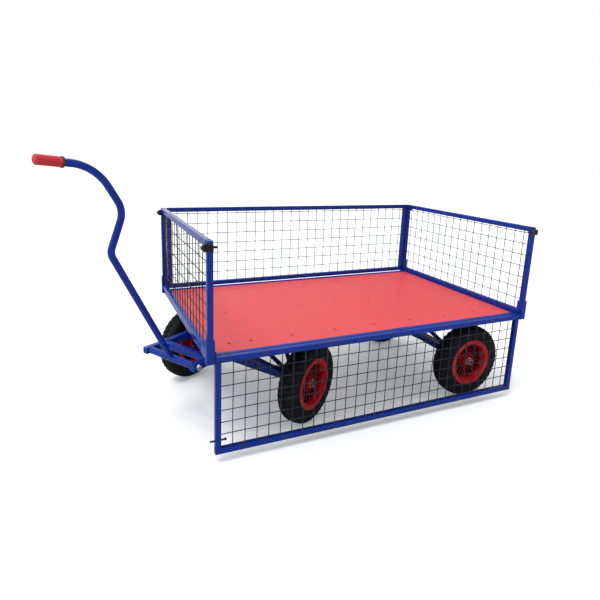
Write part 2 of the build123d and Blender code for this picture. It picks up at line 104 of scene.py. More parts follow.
floor_shader.inputs["Roughness"].default_value = 0.8
floor_shader.inputs["Specular IOR Level"].default_value = 0.1
glance = paper_tree.nodes.new("ShaderNodeLightPath")
paper_tone = paper_tree.nodes.new("ShaderNodeMix")
paper_tone.data_type = "RGBA"
paper_tone.inputs["A"].default_value = floor_bounce
paper_tone.inputs["B"].default_value = floor_seen
paper_tree.links.new(glance.outputs["Is Camera Ray"], paper_tone.inputs["Factor"])
paper_tree.links.new(paper_tone.outputs["Result"], floor_shader.inputs["Base Color"])
glow = paper_tree.nodes.new("ShaderNodeMath")
glow.operation = "MULTIPLY"
glow.inputs[1].default_value = floor_glow
floor_shader.inputs["Emission Color"].default_value = glow_tint
paper_tree.links.new(glance.outputs["Is Camera Ray"], glow.inputs[0])
paper_tree.links.new(glow.outputs[0], floor_shader.inputs["Emission Strength"])
floor.data.materials.append(floor_paint)

room = bpy.data.worlds.new("room")
room.use_nodes = True
room_tree = room.node_tree
direction = room_tree.nodes.new("ShaderNodeTexCoord")
split = room_tree.nodes.new("ShaderNodeSeparateXYZ")
rise = room_tree.nodes.new("ShaderNodeMapRange")
seen = room_tree.nodes.new("ShaderNodeLightPath")
pick = room_tree.nodes.new("ShaderNodeMix")
wall = room_tree.nodes.new("ShaderNodeMapRange")
lean = room_tree.nodes.new("ShaderNodeMath")
brighter = room_tree.nodes.new("ShaderNodeMath")
lean.operation, brighter.operation = "SUBTRACT", "MAXIMUM"
for node, numbers in ((rise, overhead), (wall, back_left)):
    for label, value in zip(("From Min", "From Max", "To Min", "To Max"), numbers):
        node.inputs[label].default_value = value
pick.inputs["B"].default_value = 1.0
room_tree.links.new(direction.outputs["Generated"], split.inputs["Vector"])
room_tree.links.new(split.outputs["Z"], rise.inputs["Value"])
room_tree.links.new(seen.outputs["Is Camera Ray"], pick.inputs["Factor"])
room_tree.links.new(split.outputs["Y"], lean.inputs[0])
room_tree.links.new(split.outputs["X"], lean.inputs[1])
room_tree.links.new(lean.outputs[0], wall.inputs["Value"])
room_tree.links.new(rise.outputs["Result"], brighter.inputs[0])
room_tree.links.new(wall.outputs["Result"], brighter.inputs[1])
room_tree.links.new(brighter.outputs[0], pick.inputs["A"])
room_tree.links.new(pick.outputs["Result"], room_tree.nodes["Background"].inputs["Strength"])
room_tree.nodes["Background"].inputs["Color"].default_value = (1.0, 1.0, 1.0, 1)
bpy.context.scene.world = room
bpy.context.scene.view_settings.view_transform = "Standard"
sun = bpy.data.lights.new("overhead_light", "SUN")
sun.energy, sun.angle = sun_power, sun_spread
sun_lamp = bpy.data.objects.new("overhead_light", sun)
sun_lamp.rotation_euler = sun_way.to_track_quat("-Z", "Y").to_euler()
bpy.context.scene.collection.objects.link(sun_lamp)

# Deck frame: 25 mm square steel tube, butt welded all round and sprayed gloss royal blue.
# Rails outside, cross members under the board, two longerons below them that carry the stays.
TUBE = 0.025


def skin(bm, rings, caps=True, loop=False):
    """Faces between rings of the same count, closed at both ends or round into a loop."""
    pairs = list(zip(rings, rings[1:])) + ([(rings[-1], rings[0])] if loop else [])
    for low, high in pairs:
        for i in range(len(low)):
            j = (i + 1) % len(low)
            bm.faces.new((low[i], low[j], high[j], high[i]))
    if caps and not loop:
        bm.faces.new(list(reversed(rings[0])))
        bm.faces.new(rings[-1])


def rounded(wide, deep, corner, steps=4):
    """Outline of a square tube with rounded corners."""
    out = []
    for sx, sy, turn in ((1, 1, 0), (-1, 1, 90), (-1, -1, 180), (1, -1, 270)):
        for k in range(steps + 1):
            t = radians(turn + 90 * k / steps)
            x, y = sx * (wide / 2 - corner), sy * (deep / 2 - corner)
            out.append((x + corner * cos(t), y + corner * sin(t)))
    return out


def frame_of(along, up):
    """Side and top directions across a bar."""
    side = along.cross(Vector(up)).normalized()
    return side, side.cross(along)


def tube(bm, start, end, wide=TUBE, deep=TUBE, up=(0, 0, 1), corner=0.003, edge=0.0006):
    """Closed square tube with rolled corners and slightly broken ends."""
    a, b = Vector(start), Vector(end)
    along = (b - a).normalized()
    side, top = frame_of(along, up)
    rings = []
    for s, shrink in ((0, edge), (edge, 0), ((b - a).length - edge, 0), ((b - a).length, edge)):
        fx, fy = 1 - 2 * shrink / wide, 1 - 2 * shrink / deep
        rings.append([bm.verts.new(a + along * s + side * x * fx + top * y * fy)
                      for x, y in rounded(wide, deep, corner)])
    skin(bm, rings)


def weld(bm, centre, along, wide=TUBE, deep=TUBE, up=(0, 0, 1), bead=0.0017):
    """Rippled weld bead round a tube where it meets the next one."""
    along = Vector(along).normalized()
    side, top = frame_of(along, up)
    path = []
    outline = rounded(wide, deep, 0.003, 3)
    for (x0, y0), (x1, y1) in zip(outline, outline[1:] + outline[:1]):
        steps = max(1, round(((x1 - x0) ** 2 + (y1 - y0) ** 2) ** 0.5 / 0.0022))
        path += [(x0 + (x1 - x0) * k / steps, y0 + (y1 - y0) * k / steps) for k in range(steps)]
    rings = []
    for i, (x, y) in enumerate(path):
        out = (side * x + top * y).normalized()
        r = bead * (0.78 + 0.22 * cos(i * pi)) * (1 + 0.1 * sin(i * 1.7))
        middle = Vector(centre) + side * x + top * y
        rings.append([bm.verts.new(middle + (out * cos(t) + along * sin(t)) * r)
                      for t in (2 * pi * k / 6 for k in range(6))])
    skin(bm, rings, loop=True)


def piece(name, bm, material, body, stands_for=(), sharp=32):
    """Turns finished mesh work into a named, painted piece that rides on its body."""
    bmesh.ops.recalc_face_normals(bm, faces=bm.faces)
    mesh = bpy.data.meshes.new(name)
    bm.to_mesh(mesh)
    bm.free()
    mesh.shade_smooth()
    mesh.set_sharp_from_angle(angle=radians(sharp))
    obj = bpy.data.objects.new(name, mesh)
    bpy.context.scene.collection.objects.link(obj)
    obj.data.materials.append(material)
    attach(obj, body)
    if stands_for:
        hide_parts(*stands_for)
    return obj


def effect(name, takes, gives):
    """Empty shader group with named sockets."""
    group = bpy.data.node_groups.new(name, "ShaderNodeTree")
    for label, kind, value in takes:
        group.interface.new_socket(label, in_out="INPUT", socket_type=kind).default_value = value
    for label, kind in gives:
        group.interface.new_socket(label, in_out="OUTPUT", socket_type=kind)
    return group, group.nodes.new("NodeGroupInput"), group.nodes.new("NodeGroupOutput")


FLOAT, COLOUR = "NodeSocketFloat", "NodeSocketColor"
worn_skin, given, made = effect(
    "worn_skin",
    (("Colour", COLOUR, (0.5, 0.5, 0.5, 1)), ("Worn Colour", COLOUR, (0.2, 0.2, 0.2, 1)),
     ("Cloud Scale", FLOAT, 6.0), ("Cloud Depth", FLOAT, 0.2), ("Fleck Scale", FLOAT, 260.0),
     ("Fleck Share", FLOAT, 0.3), ("Peel Scale", FLOAT, 500.0), ("Roughness", FLOAT, 0.3),
     ("Roughness Spread", FLOAT, 0.15), ("Edge Share", FLOAT, 0.35)),
    (("Colour", COLOUR), ("Roughness", FLOAT), ("Height", FLOAT)))


def wire_up(tree):
    """Short forms for adding a node and joining two sockets in one tree."""
    def add(kind, **settings):
        node = tree.nodes.new(kind)
        for key, value in settings.items():
            setattr(node, key, value)
        return node
    return add, tree.links.new


def noise(add, join, place, scale, detail=4.0):
    """Noise of a given scale over the piece's own coordinates."""
    node = add("ShaderNodeTexNoise")
    node.inputs["Detail"].default_value = detail
    join(place, node.inputs["Vector"])
    if isinstance(scale, float):
        node.inputs["Scale"].default_value = scale
    else:
        join(scale, node.inputs["Scale"])
    return node.outputs["Fac"]


def sums(add, join, kind, first, second):
    """One maths node on two sockets or numbers."""
    node = add("ShaderNodeMath", operation=kind)
    for slot_number, value in enumerate((first, second)):
        if isinstance(value, (int, float)):
            node.inputs[slot_number].default_value = value
        else:
            join(value, node.inputs[slot_number])
    return node.outputs[0]


patch_scale, patch_cut, fleck_cut = 22.0, 0.53, 0.385
cloud_lift, edge_start, edge_full, chip_rough = 0.42, 0.515, 0.57, 0.25
add, join = wire_up(worn_skin)
own = add("ShaderNodeTexCoord").outputs["Object"]
cloud = noise(add, join, own, given.outputs["Cloud Scale"])
fleck = noise(add, join, own, given.outputs["Fleck Scale"], 2.0)
patch = noise(add, join, own, patch_scale, 3.0)
peel = noise(add, join, own, given.outputs["Peel Scale"], 1.0)
shade = add("ShaderNodeMix", data_type="RGBA", blend_type="MULTIPLY")
join(given.outputs["Cloud Depth"], shade.inputs["Factor"])
join(given.outputs["Colour"], shade.inputs["A"])
grey = add("ShaderNodeCombineColor")
for channel in ("Red", "Green", "Blue"):
    join(sums(add, join, "ADD", cloud, cloud_lift), grey.inputs[channel])
join(grey.outputs["Color"], shade.inputs["B"])
flecked = sums(add, join, "GREATER_THAN", sums(add, join, "MULTIPLY", fleck, patch), fleck_cut)
edge = add("ShaderNodeMapRange")
for label, value in (("From Min", edge_start), ("From Max", edge_full)):
    edge.inputs[label].default_value = value
join(add("ShaderNodeNewGeometry").outputs["Pointiness"], edge.inputs["Value"])
patchy = sums(add, join, "GREATER_THAN", patch, patch_cut)
rubbed = sums(add, join, "MULTIPLY", edge.outputs["Result"], patchy)
edge_chips = sums(add, join, "MULTIPLY", rubbed, given.outputs["Edge Share"])
spots = sums(add, join, "MULTIPLY", flecked, given.outputs["Fleck Share"])
chips = sums(add, join, "MAXIMUM", spots, edge_chips)
worn = add("ShaderNodeMix", data_type="RGBA")
join(chips, worn.inputs["Factor"])
join(shade.outputs["Result"], worn.inputs["A"])
join(given.outputs["Worn Colour"], worn.inputs["B"])
join(worn.outputs["Result"], made.inputs["Colour"])
off_middle = sums(add, join, "SUBTRACT", cloud, 0.5)
swing = sums(add, join, "MULTIPLY", off_middle, given.outputs["Roughness Spread"])
rough = sums(add, join, "ADD", given.outputs["Roughness"], swing)
chipped = sums(add, join, "MULTIPLY", chips, chip_rough)
join(sums(add, join, "ADD", rough, chipped), made.inputs["Roughness"])
join(sums(add, join, "SUBTRACT", peel, chips), made.inputs["Height"])


def finish_of(name, metallic=0.0, coat=0.0, depth=0.00005, strength=0.4, shine=0.25, **values):
    """Material whose colour, roughness and relief come from the worn skin group."""
    material = bpy.data.materials.new(name)
    material.use_nodes = True
    tree = material.node_tree
    shader = tree.nodes["Principled BSDF"]
    group = tree.nodes.new("ShaderNodeGroup")
    group.node_tree = worn_skin
    for label, value in values.items():
        group.inputs[label.replace("_", " ")].default_value = value
    relief = tree.nodes.new("ShaderNodeBump")
    relief.inputs["Distance"].default_value = depth
    relief.inputs["Strength"].default_value = strength
    tree.links.new(group.outputs["Colour"], shader.inputs["Base Color"])
    tree.links.new(group.outputs["Roughness"], shader.inputs["Roughness"])
    tree.links.new(group.outputs["Height"], relief.inputs["Height"])
    tree.links.new(relief.outputs["Normal"], shader.inputs["Normal"])
    shader.inputs["Metallic"].default_value = metallic
    shader.inputs["Coat Weight"].default_value = coat
    shader.inputs["Coat Roughness"].default_value = 0.08
    shader.inputs["Specular IOR Level"].default_value = shine
    return material


blue_paint = finish_of(
    "blue_paint", coat=0.4, depth=0.00004, shine=0.06, Colour=(0.001, 0.028, 0.31, 1),
    Worn_Colour=(0.02, 0.035, 0.09, 1), Cloud_Scale=5.0, Cloud_Depth=0.22, Fleck_Share=0.35,
    Peel_Scale=420.0, Roughness=0.27, Roughness_Spread=0.14)

low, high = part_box("deck_frame")
rail_low = high.z - TUBE
cross_drop = 0.015
cross_low = rail_low - cross_drop
inner_y = high.y - TUBE
middle_x = (low.x + high.x) / 2
cross_places = (-0.740, -0.640, -0.440, -0.220, 0.0, 0.220, 0.440, 0.640, 0.790)
longeron_y, longeron_ends = 0.340, (0.110, 0.800)
steel = bmesh.new()
rail_z, cross_z, under_z = rail_low + TUBE / 2, cross_low + TUBE / 2, cross_low - TUBE / 2
for x in (low.x + TUBE / 2, high.x - TUBE / 2):
    tube(steel, (x, low.y, rail_z), (x, high.y, rail_z))
for side in (-1, 1):
    y = side * (high.y - TUBE / 2)
    tube(steel, (low.x + TUBE, y, rail_z), (high.x - TUBE, y, rail_z))
    for x, way in ((low.x + TUBE, 1), (high.x - TUBE, -1)):
        weld(steel, (x, y, rail_z), (way, 0, 0))
for place in cross_places:
    x = middle_x + place
    tube(steel, (x, -inner_y, cross_z), (x, inner_y, cross_z))
    for side in (-1, 1):
        weld(steel, (x, side * inner_y, cross_z), (0, side, 0))
for side in (-1, 1):
    y = side * longeron_y
    ahead_x, behind_x = (middle_x + end for end in longeron_ends)
    tube(steel, (ahead_x, y, under_z), (behind_x, y, under_z))
    for place in cross_places:
        if longeron_ends[0] < place < longeron_ends[1]:
            weld(steel, (middle_x + place, y, cross_low), (0, 0, 1), up=(1, 0, 0))
piece("deck_rails", steel, blue_paint, "chassis", ("deck_frame",))

# Deck board: 12 mm film-faced plywood, smooth red film on top. Its sawn edge and underside are
# coloured dark: partly the sealed ply, and along the edge also painted shade of the narrow gap
# between the board and the rails. It drops between the rails and is screwed down to every cross
# member.
red_film = finish_of(
    "red_film", depth=0.00003, strength=0.3, shine=0.12, Colour=(0.74, 0.080, 0.090, 1),
    Worn_Colour=(0.58, 0.13, 0.13, 1), Cloud_Scale=2.4, Cloud_Depth=0.12, Fleck_Scale=140.0,
    Fleck_Share=0.18, Peel_Scale=900.0, Roughness=0.42, Roughness_Spread=0.2)
dark_ply_gap_shade = finish_of(
    "dark_ply_gap_shade", depth=0.0002, Colour=(0.10, 0.045, 0.03, 1), Worn_Colour=(0.32, 0.2, 0.11, 1),
    Cloud_Scale=30.0, Cloud_Depth=0.5, Fleck_Scale=320.0, Fleck_Share=0.5, Roughness=0.7)
low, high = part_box("deck_board")
panel = bmesh.new()
board_round, board_corner, facing_up = 0.0012, 0.006, 0.3
board_rings = []
for z, inset in ((low.z, board_round), (low.z + board_round, 0),
                 (high.z - board_round, 0), (high.z, board_round)):
    wide, deep = high.x - low.x - 2 * inset, high.y - low.y - 2 * inset
    board_rings.append([panel.verts.new((middle_x + x, y, z))
                        for x, y in rounded(wide, deep, board_corner)])
skin(panel, board_rings)
board = piece("red_deck_board", panel, red_film, "chassis", ("deck_board",))
board.data.materials.append(dark_ply_gap_shade)
# Faces that don't face up take the dark ply colour, which along the edge is also painted shade of
# the gap at the rails.
for face in board.data.polygons:
    if face.normal.z < facing_up:
        face.material_index = 1

# Deck screws: countersunk heads with a cross recess, driven flush with the board and sprayed
# over in its red.
screw_rows = (-0.400, 0.0, 0.400)
shank_r, recess_r, recess_lobes = 0.0038, 0.0034, 0.36
low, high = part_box("deck_screws")
heads = bmesh.new()
for place in cross_places:
    for y in screw_rows:
        x, turn = middle_x + place, 0.7 * place * 10 + y * 3
        rings = []
        for z, r in ((low.z, shank_r), (high.z - 0.004, shank_r), (high.z - 0.0006, 0.0070),
                     (high.z, 0.0068), (high.z, recess_r), (high.z - 0.0016, 0.0014)):
            lobes = recess_lobes if r == recess_r else 0.0
            rings.append([heads.verts.new((x + r * (1 - lobes * sin(2 * t) ** 2) * cos(t + turn),
                                           y + r * (1 - lobes * sin(2 * t) ** 2) * sin(t + turn), z))
                          for t in (2 * pi * k / 24 for k in range(24))])
        skin(heads, rings)
piece("deck_screw_heads", heads, red_film, "chassis", ("deck_screws",))

# Corner sockets: short heavier square tube welded to the deck corners, that the end panels drop
# into. The mouth is left open on the side that faces the deck, so the panel's rail can pass.
low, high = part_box("post_sockets")
SOCKET, WALL = 0.034, 0.004
sleeve = bmesh.new()
post_at = [(x, y) for x in (low.x + SOCKET / 2, high.x - SOCKET / 2)
           for y in (low.y + SOCKET / 2, high.y - SOCKET / 2)]
notch_foot = 0.4805
notch_half = 0.0130
for x, y in post_at:
    inward = -1 if y > 0 else 1
    h = SOCKET / 2
    for a, b in (((-h, -h), (h, -h)), ((h, -h), (h, h)), ((h, h), (-h, h)), ((-h, h), (-h, -h))):
        faces_deck = a[1] == b[1] == inward * h
        mid = Vector(((a[0] + b[0]) / 2, (a[1] + b[1]) / 2, 0))
        out = mid.normalized()
        along_wall = Vector((b[0] - a[0], b[1] - a[1], 0)).normalized()
        spans = [(-h, h, low.z, high.z)]
        if faces_deck:
            spans = [(-h, h, low.z, notch_foot), (-h, -notch_half, notch_foot, high.z),
                     (notch_half, h, notch_foot, high.z)]
        for s0, s1, z0, z1 in spans:
            if not faces_deck and abs(out.x) > 0.5:
                s0, s1 = s0 + WALL, s1 - WALL
            centre = Vector((x, y, 0)) + out * (h - WALL / 2)
            start = centre + along_wall * ((s0 + s1) / 2) + Vector((0, 0, z0))
            end = start + Vector((0, 0, z1 - z0))
            tube(sleeve, start, end, wide=s1 - s0, deep=WALL, up=tuple(out),
                 corner=0.0011, edge=0.0008)
piece("corner_sockets", sleeve, blue_paint, "chassis", ("post_sockets",))

# End panels: two posts that stand in the sockets and two rails butt welded between them.
# The post heads are drilled for the latch bolts, and the near front post for the spring pin.
def turned(bm, start, along, profile, around=32):
    """Solid of revolution: (distance along, radius) pairs, closed at both ends."""
    along = Vector(along).normalized()
    side, top = frame_of(along, (0, 0, 1) if abs(along.z) < 0.9 else (1, 0, 0))
    rings, thinnest = [], 0.00005
    for s, r in profile:
        middle, reach = Vector(start) + along * s, max(r, thinnest)
        rings.append([bm.verts.new(middle + (side * cos(t) + top * sin(t)) * reach)
                      for t in (2 * pi * k / around for k in range(around))])
    skin(bm, rings)


def drilled(bm, start, end, holes, **shape):
    """A tube with round holes (start, end, radius) cut in it, added to the piece."""
    scene_objects = bpy.context.scene.collection.objects
    temporary = []
    for number, (a, b, r) in enumerate([(start, end, None)] + list(holes)):
        solid = bmesh.new()
        if number:
            way = Vector(b) - Vector(a)
            turned(solid, a, way, ((0, r), (way.length, r)), 28)
        else:
            tube(solid, a, b, **shape)
        bmesh.ops.recalc_face_normals(solid, faces=solid.faces)
        mesh = bpy.data.meshes.new("blank")
        solid.to_mesh(mesh)
        solid.free()
        temporary.append(bpy.data.objects.new("blank", mesh))
        scene_objects.link(temporary[-1])
    blank = temporary[0]
    for cutter in temporary[1:]:
        cut = blank.modifiers.new("hole", "BOOLEAN")
        cut.operation, cut.solver, cut.object = "DIFFERENCE", "EXACT", cutter
    bored = blank.evaluated_get(bpy.context.evaluated_depsgraph_get())
    result = bpy.data.meshes.new_from_object(bored)
    bm.from_mesh(result)
    bpy.data.meshes.remove(result)
    for obj in temporary:
        bpy.data.meshes.remove(obj.data)


pin_low, pin_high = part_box("panel_pin")
near_hinge = Vector(joints["near_drop"]["pos_m"])
raised_pin_y = 2 * near_hinge.y - (pin_low.y + pin_high.y) / 2
raised_pin_z = 2 * near_hinge.z - (pin_low.z + pin_high.z) / 2
bolt_z = sum(corner.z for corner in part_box("latch_bolt_fn")) / 2
sill, bolt_hole, pin_hole, outer_skin = 0.4935, 0.00505, 0.0045, 0.002
for end in ("front", "rear"):
    low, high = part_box(f"{end}_panel_frame")
    x, h = (low.x + high.x) / 2, TUBE / 2
    steel = bmesh.new()
    for y, corner_name in ((low.y + h, "n"), (high.y - h, "f")):
        bolt_y = sum(corner.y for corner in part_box(f"latch_bolt_{end[0]}{corner_name}")) / 2
        holes = [((x - TUBE, bolt_y, bolt_z), (x + TUBE, bolt_y, bolt_z), bolt_hole)]
        if end + corner_name == "frontn":
            holes.append(((x - h + outer_skin, raised_pin_y, raised_pin_z),
                          (x + TUBE, raised_pin_y, raised_pin_z), pin_hole))
        drilled(steel, (x, y, low.z), (x, y, high.z), holes, up=(1, 0, 0))
    for z in (sill, high.z - h):
        tube(steel, (x, low.y + TUBE, z), (x, high.y - TUBE, z))
        for y, way in ((low.y + TUBE, 1), (high.y - TUBE, -1)):
            weld(steel, (x, y, z), (0, way, 0))
    piece(f"{end}_panel", steel, blue_paint, "chassis", (f"{end}_panel_frame",))

# Side panels: long frames of the same tube. The near one hangs down from two welded end tabs,
# the far one stands up on pins in its own lower rail. Their outer corners are bored for the bolts.
stile_bore, stile_depth, overrun, pin_bore = 0.006, 0.017, 0.005, 0.00405
tab_thick, tab_reach, tab_foot, tab_edge = 0.006, 0.011, 0.004, 0.0005
for side in ("near", "far"):
    low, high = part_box(f"{side}_panel_frame")
    hinge = Vector(joints[f"{side}_drop"]["pos_m"])
    h = TUBE / 2
    y = hinge.y
    top = high.z if side == "far" else hinge.z - h
    steel = bmesh.new()
    catch = bolt_z if side == "far" else 2 * hinge.z - bolt_z
    bores = [((x + way * stile_depth, y, catch), (x - way * overrun, y, catch), stile_bore)
             for x, way in ((low.x, 1), (high.x, -1))]
    for z in (low.z + h, top - h):
        holes = bores if abs(z - catch) < h + stile_bore else []
        drilled(steel, (low.x, y, z), (high.x, y, z), holes)
    for x in (low.x + h, high.x - h):
        holes = bores if side == "far" else []
        if side == "near" and x < hinge.x:
            pin_y, pin_z = (pin_low.y + pin_high.y) / 2, (pin_low.z + pin_high.z) / 2
            holes = [((x - TUBE, pin_y, pin_z), (x + TUBE, pin_y, pin_z), pin_bore)]
        drilled(steel, (x, y, low.z + TUBE), (x, y, top - TUBE), holes, up=(1, 0, 0))
        for z, way in ((low.z + TUBE, 1), (top - TUBE, -1)):
            weld(steel, (x, y, z), (0, 0, way), up=(1, 0, 0))
    if side == "near":
        for x0, way in ((low.x, 1), (high.x, -1)):
            outline = [(-tab_reach, top - tab_foot), (tab_reach, top - tab_foot)]
            outline += [(tab_reach * cos(t), hinge.z + tab_reach * sin(t))
                        for t in (pi * k / 12 for k in range(13))]
            rings = []
            for s, inset in ((0, tab_edge), (tab_edge, 0),
                             (tab_thick - tab_edge, 0), (tab_thick, tab_edge)):
                rings.append([steel.verts.new((x0 + way * s, y + a * (1 - inset / tab_reach), b))
                              for a, b in outline])
            skin(steel, rings)
    piece(f"{side}_side_panel", steel, blue_paint, f"{side}_panel",
          (f"{side}_panel_frame",))

# Wire mesh: 4 mm drawn wire, spot welded at every crossing and into the frames, coated dark grey.
# Each wire is very slightly bent, as hand-fitted mesh is.
grey_wire = finish_of(
    "grey_wire", depth=0.00004, Colour=(0.016, 0.020, 0.032, 1),
    Worn_Colour=(0.10, 0.10, 0.11, 1), Cloud_Scale=14.0, Cloud_Depth=0.35, Fleck_Scale=420.0,
    Fleck_Share=0.4, Roughness=0.42, Roughness_Spread=0.2)
WIRE = 0.004
sink, tuck, upright_bow, cross_bow = 0.0005, 0.002, 0.0006, 0.0008
random.seed(11)


def wire_run(bm, start, end, bow):
    """One round wire with a faint bow and wander along it."""
    a, b = Vector(start), Vector(end)
    along = (b - a).normalized()
    side, top = frame_of(along, (0, 1, 0) if abs(along.y) < 0.5 else (1, 0, 0))
    phase, count = random.uniform(0, 2 * pi), max(4, round((b - a).length / 0.06))
    rings = []
    for k in range(count + 1):
        t = k / count
        hush = sin(pi * t)
        off = side * (hush * bow * (sin(2 * pi * t + phase) + 0.4 * sin(7 * t + phase)))
        rings.append([bm.verts.new(a.lerp(b, t) + off + (side * cos(u) + top * sin(u)) * (WIRE / 2))
                      for u in (2 * pi * i / 10 for i in range(10))])
    skin(bm, rings)


def wire_places(node, axis):
    """Middle of each wire of a layer, read off the layer's own corners."""
    seen = sorted({round(v.co[axis], 4) for v in nodes[node].data.vertices})
    starts = [seen[0]]
    for value in seen[1:]:
        if value - starts[-1] > 1.5 * WIRE:
            starts.append(value)
    return [value + WIRE / 2 for value in starts]


mesh_of = {"front": ("chassis", 1), "rear": ("chassis", 1),
           "near": ("near_panel", 0), "far": ("far_panel", 0)}
for end, (body, across) in mesh_of.items():
    names = (f"{end}_mesh_uprights", f"{end}_mesh_crosswires")
    wires = bmesh.new()
    low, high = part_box(names[0])
    depth_axis = 1 - across
    other_low, other_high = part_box(names[1])
    lean = 1 if (other_low[depth_axis] > low[depth_axis]) else -1
    depth = (low[depth_axis] + high[depth_axis]) / 2 + lean * sink
    for place in wire_places(names[0], across):
        spot = [0, 0]
        spot[across], spot[depth_axis] = place, depth
        wire_run(wires, (*spot, low.z - tuck), (*spot, high.z + tuck), upright_bow)
    low, high = other_low, other_high
    depth = (low[depth_axis] + high[depth_axis]) / 2 - lean * sink
    for place in wire_places(names[1], 2):
        start, stop = [0, 0, place], [0, 0, place]
        start[across], stop[across] = low[across] - tuck, high[across] + tuck
        start[depth_axis] = stop[depth_axis] = depth
        wire_run(wires, start, stop, cross_bow)
    piece(f"{end}_wire_mesh", wires, grey_wire, body, names)

# Hinge pins: plain 10 mm steel bar, zinc plated, two to each side panel. They are fixed to the
# panel and turn in the sockets.
bright_zinc = finish_of(
    "bright_zinc", metallic=1.0, depth=0.00003, Colour=(0.72, 0.72, 0.70, 1),
    Worn_Colour=(0.45, 0.43, 0.38, 1), Cloud_Scale=40.0, Cloud_Depth=0.25, Fleck_Share=0.3,
    Roughness=0.30, Roughness_Spread=0.2)


def repaint(material, *names):
    """Puts a finish on pieces whose designed shape is shown as it is."""
    for name in names:
        nodes[name].data.materials.clear()
        nodes[name].data.materials.append(material)


repaint(bright_zinc, "near_hinge_pins", "far_hinge_pins")

# Spring pin and post latches: blackened steel. Each latch is a cast guide that wraps the post
# head, with a sliding bolt drawn outward by its knob.
black_steel = finish_of(
    "black_steel", depth=0.00008, Colour=(0.007, 0.008, 0.011, 1),
    Worn_Colour=(0.16, 0.16, 0.17, 1), Cloud_Scale=30.0, Cloud_Depth=0.4, Fleck_Scale=300.0,
    Fleck_Share=0.35, Roughness=0.38, Roughness_Spread=0.2)

low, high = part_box("panel_pin")
pin = bmesh.new()
pin_y, pin_z = (low.y + high.y) / 2, (low.z + high.z) / 2
span = high.x - low.x
turned(pin, (low.x, pin_y, pin_z), (1, 0, 0), (
    (0, 0.0028), (0.0015, 0.0040), (span - 0.006, 0.0040), (span - 0.006, 0.0058),
    (span - 0.001, 0.0060), (span, 0.0050)))
piece("spring_pin_bar", pin, black_steel, "spring_pin", ("panel_pin",))

low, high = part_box("latch_guides")
guide_deep, lip = 0.014, 0.003
castings = bmesh.new()
post_low, post_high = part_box("front_panel_frame")[0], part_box("rear_panel_frame")[1]
guide_h = high.z - low.z
guide_z = (low.z + high.z) / 2
for sx, post_x in ((-1, post_low.x + TUBE / 2), (1, post_high.x - TUBE / 2)):
    for sy in (-1, 1):
        face_x = post_x + sx * TUBE / 2
        y0, y1 = sy * (post_high.y - TUBE), sy * (post_high.y + lip)
        bolt_y = sy * abs(near_hinge.y)
        guide_y = (y0 + y1) / 2
        hole = ((face_x - sx * overrun, bolt_y, bolt_z),
                (face_x + sx * 0.02, bolt_y, bolt_z), bolt_hole)
        drilled(castings, (face_x, guide_y, guide_z), (face_x + sx * guide_deep, guide_y, guide_z),
                [hole],
                wide=abs(y1 - y0), deep=guide_h, corner=0.004, edge=0.0015)
        cheek_y = sy * (post_high.y + lip / 2)
        tube(castings, (post_x - sx * TUBE / 2, cheek_y, guide_z), (face_x, cheek_y, guide_z),
             wide=lip, deep=guide_h, corner=0.0012, edge=0.0006)
piece("latch_castings", castings, black_steel, "chassis", ("latch_guides",))

for corner_name in ("fn", "ff", "rn", "rf"):
    low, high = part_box(f"latch_bolt_{corner_name}")
    outward = -1 if corner_name[0] == "f" else 1
    y, z = (low.y + high.y) / 2, (low.z + high.z) / 2
    tail = high.x if outward < 0 else low.x
    reach = high.x - low.x
    bolt = bmesh.new()
    turned(bolt, (tail, y, z), (outward, 0, 0), (
        (0, 0.0030), (0.002, 0.0050), (reach - 0.008, 0.0050), (reach - 0.0075, 0.0072),
        (reach - 0.006, 0.0080), (reach - 0.002, 0.0080), (reach, 0.0062)))
    piece(f"latch_{corner_name}_knob_bolt", bolt, black_steel,
          f"latch_{corner_name}", (f"latch_bolt_{corner_name}",))

# Axles and stays: square box axle with turned ends, and round stays cut to fit and welded
# under the frame. Same blue, with road dust on them.
dusty_blue = finish_of(
    "dusty_blue", coat=0.15, depth=0.00008, shine=0.1, Colour=(0.002, 0.022, 0.18, 1),
    Worn_Colour=(0.06, 0.065, 0.08, 1), Cloud_Scale=9.0, Cloud_Depth=0.35, Fleck_Share=0.5,
    Peel_Scale=380.0, Roughness=0.36, Roughness_Spread=0.2)
repaint(dusty_blue, "rear_axle", "front_axle", "rear_stays", "front_stays")

# Turntable: two flat steel plates, each with its ring, sprayed like the axles. The kingpin and
# its nut hold them together, and zinc plated bolts hold the rings.
repaint(dusty_blue, "turntable_top", "turntable_low")
repaint(bright_zinc, "kingpin", "kingpin_nut", "turntable_bolts_top", "turntable_bolts_low")

# Drawbar frame: two long arms of 30 mm square tube under the lower plate, tied by cross tubes,
# turned with the bogie. The handle pivots between the arm tips.
kingpin_at = Vector(joints["steer"]["pos_m"])
tilt = joints["handle_tilt"]
across_way = Vector(tilt["axis"]).normalized()
ahead = across_way.cross(Vector((0, 0, 1))).normalized()
pivot = Vector(tilt["pos_m"])
if (pivot - kingpin_at).dot(ahead) < 0:
    ahead = -ahead
ARM, arm_y = 0.030, 0.150
arm_tip, arm_heel = 0.517, -0.150
cross_tubes = (0.405, 0.165, 0.080, -0.080, -0.165)
base = Vector((kingpin_at.x, kingpin_at.y, pivot.z))
steel = bmesh.new()
for side in (-1, 1):
    off = across_way * (side * arm_y)
    tube(steel, base + ahead * arm_heel + off, base + ahead * arm_tip + off,
         wide=ARM, deep=ARM, corner=0.0035)
for s in cross_tubes:
    reach = arm_y - ARM / 2
    tube(steel, base + ahead * s - across_way * reach, base + ahead * s + across_way * reach,
         wide=ARM, deep=ARM, corner=0.0035)
    for side in (-1, 1):
        weld(steel, base + ahead * s + across_way * (side * reach), across_way * side,
             ARM, ARM, bead=0.002)
piece("drawbar", steel, blue_paint, "bogie", ("drawbar_frame",))

